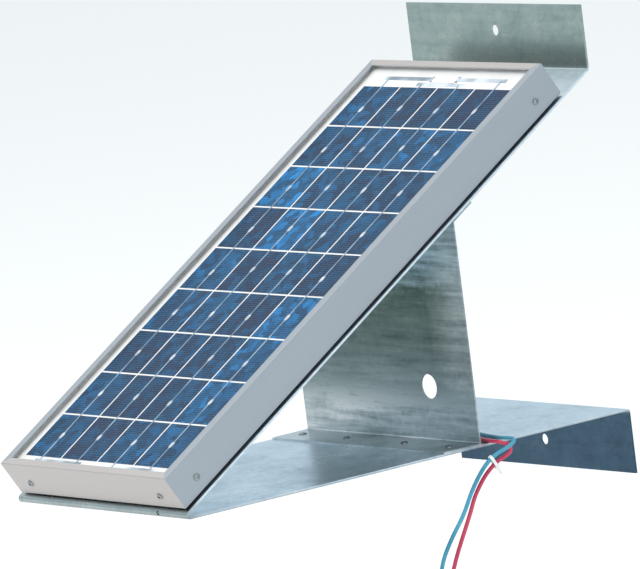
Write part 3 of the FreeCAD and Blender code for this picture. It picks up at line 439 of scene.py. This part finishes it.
def galvanised(name, roughness, crystal_share, streak_share):
    """Hot-dip galvanised steel: Voronoi cells for the spangle, a broad cloud for
    weathering and a long thin noise for streaks, mixed to one tone about a half. The
    tone moves the roughness here, and the colour where the caller reads it."""
    material, tree, shader = finish(name, Metallic=1.0, Roughness=roughness)
    where = place_mm(tree)
    # crystals of about 5 mm
    spangle = add(tree, "ShaderNodeTexVoronoi", Vector=where, Scale=1 / SPANGLE).outputs["Color"]
    crystal = add(tree, "ShaderNodeSeparateColor", Color=spangle).outputs[0]
    # clouds of about 45 mm, where the zinc has dulled
    cloud = add(tree, "ShaderNodeTexNoise", Vector=where, Scale=1 / CLOUD, Detail=5.0,
                Roughness=0.62).outputs[0]
    # streaks about 80 mm long and 6 mm apart
    streak = add(tree, "ShaderNodeTexNoise", Vector=place_mm(tree, stretch=STREAK), Scale=1.0,
                 Detail=5.0, Roughness=0.62).outputs[0]
    worn = add(tree, "ShaderNodeMix", in_0=streak_share, in_2=cloud, in_3=streak).outputs[0]
    tone = add(tree, "ShaderNodeMix", in_0=crystal_share, in_2=worn, in_3=crystal).outputs[0]
    rough = add(tree, "ShaderNodeMapRange", Value=tone, in_1=0.3, in_2=0.7,
                in_3=roughness + 0.07, in_4=roughness - 0.07).outputs[0]
    # the skin's own grain, under a millimetre, drawn at 2 mm to show
    grain = add(tree, "ShaderNodeTexNoise", Vector=where, Scale=0.5, Detail=3.0).outputs[0]
    bump = add(tree, "ShaderNodeBump", Strength=0.1, Distance=0.0002, Height=grain)
    tree.links.new(rough, shader.inputs["Roughness"])
    tree.links.new(bump.outputs[0], shader.inputs["Normal"])
    return material, tree, shader, tone


MULTIPLIED = {"data_type": "RGBA", "blend_type": "MULTIPLY"}
print("sheet finishes share one recipe")

# %% Zinc on the bracket
# Painted reflection: the lower wall flange is painted a dark blue-grey and the upper one a grey-green,
# for the dark ground these upright faces mirror.
bracket_zinc_painted_reflection, tree, shader, tone = galvanised("hot_dip_galvanised_steel", 0.3, 0.1, 0.4)
clean = add(tree, "ShaderNodeValToRGB", {"stops": [
    (0.3, "#bac8d0"), (0.7, "#eef4f8"), (0.5, "#d6e3eb")]}, in_0=tone).outputs["Color"]
height = add(tree, "ShaderNodeSeparateXYZ", Vector=place_mm(tree)).outputs[2]
flange_reflection_mask = add(tree, "ShaderNodeMapRange", Value=height, in_1=-165.0, in_2=165.0).outputs[0]
# painted reflection on the flanges, darkened by height, the lower flange most
flange_painted_reflection = add(tree, "ShaderNodeValToRGB", {"stops": [
    (0.0, "#4c6172"), (1.0, "#b6bdb4"), (0.03, "#4c6172"),
    (0.045, "#ffffff"), (0.955, "#ffffff"), (0.97, "#b6bdb4")]}, in_0=flange_reflection_mask).outputs["Color"]
# The nose, where the sheet turns under the panel's low end, is painted grey: painted shade for the
# panel's shadow.
deep = add(tree, "ShaderNodeSeparateXYZ", Vector=place_mm(tree)).outputs[1]
nose_shade_mask = add(tree, "ShaderNodeMapRange", Value=deep, in_1=-490.0, in_2=-465.0).outputs[0]
nose_painted_shade = add(tree, "ShaderNodeValToRGB", {"stops": [
    (0.0, "#b4b3aa"), (1.0, "#ffffff")]}, in_0=nose_shade_mask).outputs["Color"]
spangle_and_painted_reflection = add(tree, "ShaderNodeMix", MULTIPLIED, in_0=1.0, in_6=clean, in_7=flange_painted_reflection).outputs[2]
zinc_with_painted_shade = add(tree, "ShaderNodeMix", MULTIPLIED, in_0=1.0, in_6=spangle_and_painted_reflection, in_7=nose_painted_shade).outputs[2]
tree.links.new(zinc_with_painted_shade, shader.inputs["Base Color"])
put_on(bracket_zinc_painted_reflection, "bracket_sheet")

# %% Zinc on the upright
# Painted shade and reflection: it is painted brightest at its foot, which mirrors the lit base, dark
# and greenish in the middle, in the shade under the panel, and bluish at its head.
upright_zinc_painted_shade, tree, shader, tone = galvanised("streaked_galvanised_steel_painted_shade", 0.38, 0.06, 0.75)
streaks = add(tree, "ShaderNodeValToRGB", {"stops": [
    (0.3, "#8f9b9b"), (0.7, "#ffffff"), (0.5, "#cfd6d6")]}, in_0=tone).outputs["Color"]
axes = add(tree, "ShaderNodeSeparateXYZ", Vector=place_mm(tree)).outputs
wavy = add(tree, "ShaderNodeMath", {"operation": "MULTIPLY_ADD"}, in_0=tone, in_1=90.0,
           in_2=axes[2]).outputs[0]
shade_height = add(tree, "ShaderNodeMapRange", Value=wavy, in_1=-104.0, in_2=90.0).outputs[0]
# painted shade and reflection bands up the upright, by height
painted_shade_bands = add(tree, "ShaderNodeValToRGB", {"stops": [
    (0.0, "#dfe3e6"), (1.0, "#b7d0dd"), (0.15, "#d3d8db"),
    (0.24, "#93a1a4"), (0.42, "#6f807f"), (0.66, "#63756f"),
    (0.84, "#9ab4c0")]}, in_0=shade_height).outputs["Color"]
# painted light: the strip along the right edge, past the panel's shade, is painted lighter
painted_light_edge_mask = add(tree, "ShaderNodeMapRange", Value=axes[0], in_1=72.0, in_2=112.0, in_3=0.0,
              in_4=0.6).outputs[0]
bands_and_painted_light = add(tree, "ShaderNodeMix", {"data_type": "RGBA"}, in_0=painted_light_edge_mask, in_6=painted_shade_bands,
          in_7=linear("#c9d0d2")).outputs[2]
streaks_and_painted_light = add(tree, "ShaderNodeMix", MULTIPLIED, in_0=1.0, in_6=streaks, in_7=bands_and_painted_light).outputs[2]
tree.links.new(streaks_and_painted_light, shader.inputs["Base Color"])
put_on(upright_zinc_painted_shade, "support_upright")

# %% [markdown]
# ## Anodised aluminium
#
# The panel's frame is four extruded aluminium rails, anodised to a soft satin. The
# film is clear, so the metal shows, but its fine etch spreads the highlight. The
# extrusion's die leaves very faint lines along the rail.

# %% Frame, keys and fixings
ACROSS_PANEL = (0.004, 0.9, 0.9)
UP_PANEL = (0.9, 0.004, 0.9)
NO_WAY = (0.3, 0.3, 0.3)


def satin_aluminium(name, low, high, roughness, stretch):
    """Aluminium with faint lines along its length: a noise stretched along the rail
    moves its colour between two close greys and its roughness by a little."""
    material, tree, shader = finish(name, Metallic=1.0, Roughness=roughness)
    lines = add(tree, "ShaderNodeTexNoise", Vector=place_mm(tree, True, stretch), Scale=1.0,
                Detail=3.0).outputs[0]
    tree.links.new(add(tree, "ShaderNodeValToRGB", {"stops": [
        (0.3, low), (0.7, high)]}, in_0=lines).outputs["Color"], shader.inputs["Base Color"])
    rough = add(tree, "ShaderNodeMapRange", Value=lines, in_1=0.3, in_2=0.7,
                in_3=roughness - 0.05, in_4=roughness + 0.05).outputs[0]
    tree.links.new(rough, shader.inputs["Roughness"])
    return material


# the side rails read as a cool, even grey with a wide soft highlight
side_anodised = satin_aluminium("satin_anodised_aluminium", "#a7adb3", "#adb3b9", 0.5,
                                UP_PANEL)
# the end rails are the same metal, in a copy painted warmer and paler, painted light for the light
# they catch
end_rail_painted_light = satin_aluminium("satin_anodised_end_rail_painted_light", "#bfbab8", "#c4bfbd", 0.5,
                               ACROSS_PANEL)
# mill finish, as it leaves the press, is brighter and has no clear direction
mill_aluminium = satin_aluminium("mill_finish_aluminium", "#bfc1c3", "#cfd1d3", 0.38,
                                 NO_WAY)
put_on(side_anodised, "frame_left_rail", "frame_right_rail")
put_on(end_rail_painted_light, "frame_bottom_rail", "frame_top_rail")
put_on(mill_aluminium, "corner_keys")

# %% [markdown]
# ## Small metal fixings
#
# Rivets, screws, bolts, the hinge pin and the clamp screws are too small to show a
# pattern, but metal with no pattern at all looks like plastic. A mottle of about 2 mm is
# enough, and one recipe makes them all, as only their greys and polish differ.

# %% Fixings


def small_metal(name, low, high, roughness):
    """Plated steel, bare steel or brass of a small fixing: a fine noise of about 2 mm moves its
    colour between two greys, as handling and plating do."""
    material, tree, shader = finish(name, Metallic=1.0, Roughness=roughness)
    mottle = add(tree, "ShaderNodeTexNoise", Vector=place_mm(tree), Scale=0.5,
                 Detail=4.0).outputs[0]
    tree.links.new(add(tree, "ShaderNodeValToRGB", {"stops": [
        (0.35, low), (0.65, high)]}, in_0=mottle).outputs["Color"], shader.inputs["Base Color"])
    return material


# rivets have lost their shine in the weather
put_on(small_metal("dull_rivet_steel", "#80868a", "#9ba1a5", 0.42), "foot_rivets", "head_rivets")
# plated screws keep a small bright spot, and bolts under the panel a brighter one
put_on(small_metal("bright_zinc_plate", "#8f9397", "#abafb2", 0.34), "frame_screws")
put_on(small_metal("zinc_plated_bolt", "#b3b8ba", "#cfd3d4", 0.28), "panel_bolts",
       "panel_washers", "panel_nuts")
# a ground pin is the smoothest, and brass clamp screws are yellow
put_on(small_metal("ground_pin_steel", "#b6b9bc", "#c9ccce", 0.25), "lid_hinge_pin")
put_on(small_metal("clamp_brass", "#b99448", "#d2b064", 0.3), "terminal_screws")

# %% [markdown]
# ## Silicon cells
#
# Each cell is a third of a polycrystalline wafer: crystals of a centimetre or so in
# every direction, etched and coated blue with silicon nitride. Each crystal turns the
# coating to its own blue, and silver fingers finer than a hair run across. The
# crystals are Voronoi cells bent by noise, and every wafer is moved to its own part
# of the pattern by its row and column, so that no two are alike.

# %% Wafers
GRAIN = 8.0
WAFER_PITCH = 54.0
FINGER_PITCH = 2.6
CELL_EDGE = 16.5

# The coating's index is 2.0, but it lies in a clear film of 1.48, and 1.35 is their ratio.
wafer, tree, shader = finish("silicon_nitride_coated_wafer", Roughness=0.42, IOR=1.35,
                             Specular_IOR_Level=0.2)
flat = place_mm(tree, True)
axes = add(tree, "ShaderNodeSeparateXYZ", Vector=flat).outputs
column = add(tree, "ShaderNodeMath", {"operation": "FLOOR"}, in_0=add(
    tree, "ShaderNodeMath", {"operation": "DIVIDE"}, in_0=add(
        tree, "ShaderNodeMath", {"operation": "ADD"}, in_0=axes[0], in_1=2 * WAFER_PITCH).outputs[0],
    in_1=WAFER_PITCH).outputs[0]).outputs[0]
row = add(tree, "ShaderNodeMath", {"operation": "FLOOR"}, in_0=add(
    tree, "ShaderNodeMath", {"operation": "DIVIDE"}, in_0=add(
        tree, "ShaderNodeMath", {"operation": "SUBTRACT"}, in_0=axes[1],
        in_1=CELL_EDGE).outputs[0],
    in_1=WAFER_PITCH).outputs[0]).outputs[0]
cell = add(tree, "ShaderNodeCombineXYZ", X=column, Y=row, Z=3.0).outputs[0]
chance = add(tree, "ShaderNodeTexWhiteNoise", Vector=cell).outputs
away = add(tree, "ShaderNodeVectorMath", {"operation": "SCALE"}, in_0=chance["Color"],
           Scale=900.0).outputs[0]
own = add(tree, "ShaderNodeVectorMath", {"operation": "ADD"}, in_0=flat, in_1=away).outputs[0]
bend = add(tree, "ShaderNodeTexNoise", Vector=own, Scale=0.12, Detail=3.0).outputs["Color"]
bent = add(tree, "ShaderNodeVectorMath", {"operation": "MULTIPLY_ADD"}, in_0=bend,
           in_1=(9.0, 9.0, 0.0), in_2=own).outputs[0]
grains = add(tree, "ShaderNodeTexVoronoi", Vector=bent, Scale=1 / GRAIN).outputs["Color"]
grain_tone = add(tree, "ShaderNodeSeparateColor", Color=grains).outputs[0]
haze = add(tree, "ShaderNodeTexNoise", Vector=own, Scale=0.07, Detail=5.0,
           Roughness=0.65).outputs[0]
mixed = add(tree, "ShaderNodeMix", in_0=0.6, in_2=haze, in_3=grain_tone).outputs[0]
tone = add(tree, "ShaderNodeMix", in_0=0.4, in_2=mixed, in_3=chance["Value"]).outputs[0]
blue = add(tree, "ShaderNodeValToRGB", {"stops": [
    (0.1, "#262b49"), (0.86, "#0a7dc0"), (0.3, "#0b2d4c"),
    (0.5, "#034064"), (0.68, "#035380")]}, in_0=tone).outputs["Color"]
# real fingers are 0.1 mm wide; they are drawn wider and faint so that they show
finger = add(tree, "ShaderNodeMath", {"operation": "PINGPONG"}, in_0=axes[1],
             in_1=FINGER_PITCH / 2).outputs[0]
thin = add(tree, "ShaderNodeMath", {"operation": "LESS_THAN"}, in_0=finger, in_1=0.28).outputs[0]
faint = add(tree, "ShaderNodeMath", {"operation": "MULTIPLY"}, in_0=thin, in_1=0.12).outputs[0]
printed = add(tree, "ShaderNodeMix", {"data_type": "RGBA"}, in_0=faint, in_6=blue,
              in_7=linear("#9db4cb")).outputs[2]
tree.links.new(printed, shader.inputs["Base Color"])
put_on(wafer, "solar_cells")

# %% [markdown]
# ## Ribbons
#
# Copper ribbon dipped in tin carries the current. Fresh tin is bright and softly
# uneven, and under the film it dulls in patches, so each kind has a broad noise that
# moves it between a bright and a dull grey.

# %% Ribbons
# solder and bare cores are the brightest tin, slightly uneven
tinned, tree, shader = finish("tinned_copper_ribbon", Metallic=1.0, Roughness=0.36)
solder = add(tree, "ShaderNodeTexNoise", Vector=place_mm(tree), Scale=0.16, Detail=4.0).outputs[0]
tree.links.new(add(tree, "ShaderNodeValToRGB", {"stops": [
    (0.32, "#b4bfca"), (0.66, "#eef2f6")]}, in_0=solder).outputs["Color"], shader.inputs["Base Color"])
put_on(tinned, "solder_pads", "lead_cores", "red_eyelet", "blue_eyelet")

# ribbon on the cells has a painted reflection of their blue in its colour, and is darker than the pads
cell_ribbon_painted_reflection, tree, shader = finish("flat_tinned_cell_ribbon", Metallic=1.0, Roughness=0.42)
stain = add(tree, "ShaderNodeTexNoise", Vector=place_mm(tree), Scale=0.05, Detail=3.0).outputs[0]
tree.links.new(add(tree, "ShaderNodeValToRGB", {"stops": [
    (0.35, "#7f97ad"), (0.65, "#b4c6d4")]}, in_0=stain).outputs["Color"], shader.inputs["Base Color"])
put_on(cell_ribbon_painted_reflection, "cell_ribbons")

bus_tin, tree, shader = finish("dulled_tinned_bus_ribbon", Metallic=1.0, Roughness=0.6)
# the tin has dulled in patches of about 40 mm
patch = add(tree, "ShaderNodeTexNoise", Vector=place_mm(tree), Scale=0.028, Detail=1.0).outputs[0]
tree.links.new(add(tree, "ShaderNodeValToRGB", {"stops": [
    (0.38, "#95a3af"), (0.54, "#e2eaf0")]}, in_0=patch).outputs["Color"], shader.inputs["Base Color"])
put_on(bus_tin, "bus_ribbons")


# %% [markdown]
# ## Films, mouldings and rubber
#
# The plastics differ in colour, gloss and grain, and not in kind: a film is broad and
# even, a moulding has a fine spark-eroded grain, rubber is dull. One recipe with a
# grain size in millimetres covers them.

# %% Films, mouldings and rubber
def cast_or_film(name, low, high, roughness, ior, size_mm):
    """A plastic film, moulding or rubber: a soft noise of the given size in
    millimetres moves its colour between two close ones and gives a slight grain."""
    material, tree, shader = finish(name, Roughness=roughness, IOR=ior)
    mottle = add(tree, "ShaderNodeTexNoise", Vector=place_mm(tree), Scale=1 / size_mm,
                 Detail=4.0).outputs[0]
    tree.links.new(add(tree, "ShaderNodeValToRGB", {"stops": [
        (0.3, low), (0.7, high)]}, in_0=mottle).outputs["Color"], shader.inputs["Base Color"])
    bump = add(tree, "ShaderNodeBump", Strength=0.15, Distance=0.0001, Height=mottle)
    tree.links.new(bump.outputs[0], shader.inputs["Normal"])
    return material


# the film round the cells is an even, slightly cloudy white
put_on(cast_or_film("white_eva_encapsulant", "#e6e4e2", "#f1efed", 0.5, 1.48, 40.0),
       "rear_encapsulant", "insulation_tab")
# the backsheet is a warmer and duller white
put_on(cast_or_film("white_polyester_backsheet", "#dedbd5", "#eae8e3", 0.55, 1.5, 30.0),
       "backsheet")
# cured silicone is a waxy, yellowish grey
put_on(cast_or_film("silicone_edge_seal", "#c9c4ba", "#d8d4cc", 0.45, 1.42, 10.0), "edge_seal")
# a fine moulded grain breaks up the highlight on black ABS
put_on(cast_or_film("moulded_black_abs", "#131416", "#1f2022", 0.48, 1.54, 1.5), "junction_box",
       "junction_lid")
# rubber is dull, with hardly a highlight
put_on(cast_or_film("epdm_rubber", "#101011", "#1a1a1b", 0.7, 1.5, 2.0), "lid_seal",
       "lead_bushes", "panel_spacers")
# polyamide is a cool grey with a soft gloss
put_on(cast_or_film("grey_polyamide_block", "#84888c", "#95999d", 0.4, 1.53, 3.0),
       "terminal_block")
# cast epoxy is black and the glossiest of these
put_on(cast_or_film("black_epoxy_diode", "#17171a", "#232327", 0.3, 1.55, 2.0), "bypass_diode")
# natural nylon is milky, with a light edge
put_on(cast_or_film("natural_nylon_tie", "#dfe0dc", "#f3f3ef", 0.38, 1.53, 3.0), "lead_tie",
       "coil_tie")
# soft PVC has a full colour and one narrow highlight along the lead
put_on(cast_or_film("red_pvc_sleeving", "#b8284a", "#cf3f5e", 0.36, 1.53, 25.0), "red_wire",
       "red_sleeve")
put_on(cast_or_film("blue_pvc_sleeving", "#3487a3", "#4fa6c2", 0.36, 1.53, 25.0), "blue_wire",
       "blue_sleeve")

# %% [markdown]
# ## Front glass
#
# The pane is low-iron toughened glass, rolled with a fine prism texture that keeps
# reflections off it. A refracting shader would shut most lamps out from the cells, so
# the pane is mostly open, and it closes towards a grazing look as real glass does.

# %% Front glass
glass, tree, shader = finish("rolled_low_iron_glass", Roughness=0.22, IOR=1.52)
shader.inputs["Base Color"].default_value = linear("#dfe9ee")
edge_on = add(tree, "ShaderNodeFresnel", IOR=1.3).outputs[0]
# a share of 0.004 is the haze of the rolled texture, and the pane's rear side stays open
closed = add(tree, "ShaderNodeMapRange", Value=edge_on, in_1=0.0, in_2=1.0, in_3=0.004,
             in_4=0.12).outputs[0]
rear = add(tree, "ShaderNodeNewGeometry").outputs["Backfacing"]
front = add(tree, "ShaderNodeMath", {"operation": "SUBTRACT"}, in_0=1.0, in_1=rear).outputs[0]
shown = add(tree, "ShaderNodeMath", {"operation": "MULTIPLY"}, in_0=closed, in_1=front).outputs[0]
tree.links.new(shown, shader.inputs["Alpha"])
put_on(glass, "front_glass")

# %% [markdown]
# ## Floor and light
#
# The unit hangs above a plain pale floor. A wide soft lamp overhead and in front
# stands for an open sky, a weaker one fills the right side, and the world gives a
# pale blue towards the horizon, which the sheet's flat top picks up.

# %% Floor
FLOOR_HALF = 14.0
FLOOR_DROP = 0.012
floor_height = cad_low.z - FLOOR_DROP
corner = np.array([[-1, -1], [1, -1], [1, 1], [-1, 1]]) * FLOOR_HALF
floor_points = np.column_stack([corner, np.full(4, floor_height)])
floor_mesh = bpy.data.meshes.new("floor")
floor_mesh.from_pydata(floor_points.tolist(), [], [(0, 1, 2, 3)])
floor = bpy.data.objects.new("floor", floor_mesh)
scene.collection.objects.link(floor)
floor_paint, _, floor_shader = finish("matt_floor_paint", Roughness=0.9)
floor_shader.inputs["Base Color"].default_value = linear("#f7f7f6")
put_on(floor_paint, "floor")

# %% World and lamps
world = bpy.data.worlds.new("soft_sky")
scene.world = world
world.use_nodes = True
tree = world.node_tree
height = add(tree, "ShaderNodeSeparateXYZ", Vector=add(
    tree, "ShaderNodeTexCoord").outputs["Generated"]).outputs[2]
sky = add(tree, "ShaderNodeValToRGB", {"stops": [
    (0.0, "#d3e6f2"), (0.6, "#f4f6f7"), (0.2, "#cbe2f0")]}, in_0=height).outputs["Color"]
background = tree.nodes["Background"]
tree.links.new(sky, background.inputs["Color"])
background.inputs["Strength"].default_value = 1.05


def soft_lamp(name, place, towards, size, power, colour):
    """A square lamp of a size in metres, at a place, that faces a point: its own
    backward direction is the line from that point to the lamp."""
    lamp_data = bpy.data.lights.new(name, "AREA")
    lamp_data.shape = "SQUARE"
    lamp_data.size = size
    lamp_data.energy = power
    lamp_data.color = linear(colour)[:3]
    lamp = bpy.data.objects.new(name, lamp_data)
    scene.collection.objects.link(lamp)
    back = Matrix.Translation(place).translation - Matrix.Translation(towards).translation
    lamp.matrix_world = Matrix.Translation(place) @ back.to_track_quat("Z", "Y").to_matrix().to_4x4()
    return lamp


soft_lamp("overhead_lamp", (-0.6, -1.8, 3.2), (0, -0.2, 0), 3.0, 60, "#fdfbf6")
soft_lamp("right_fill", (3.4, -0.8, 1.4), (0, -0.2, 0), 2.4, 22, "#eef4fa")
scene.view_settings.view_transform = "Standard"
print("lamps:", len(bpy.data.lights))
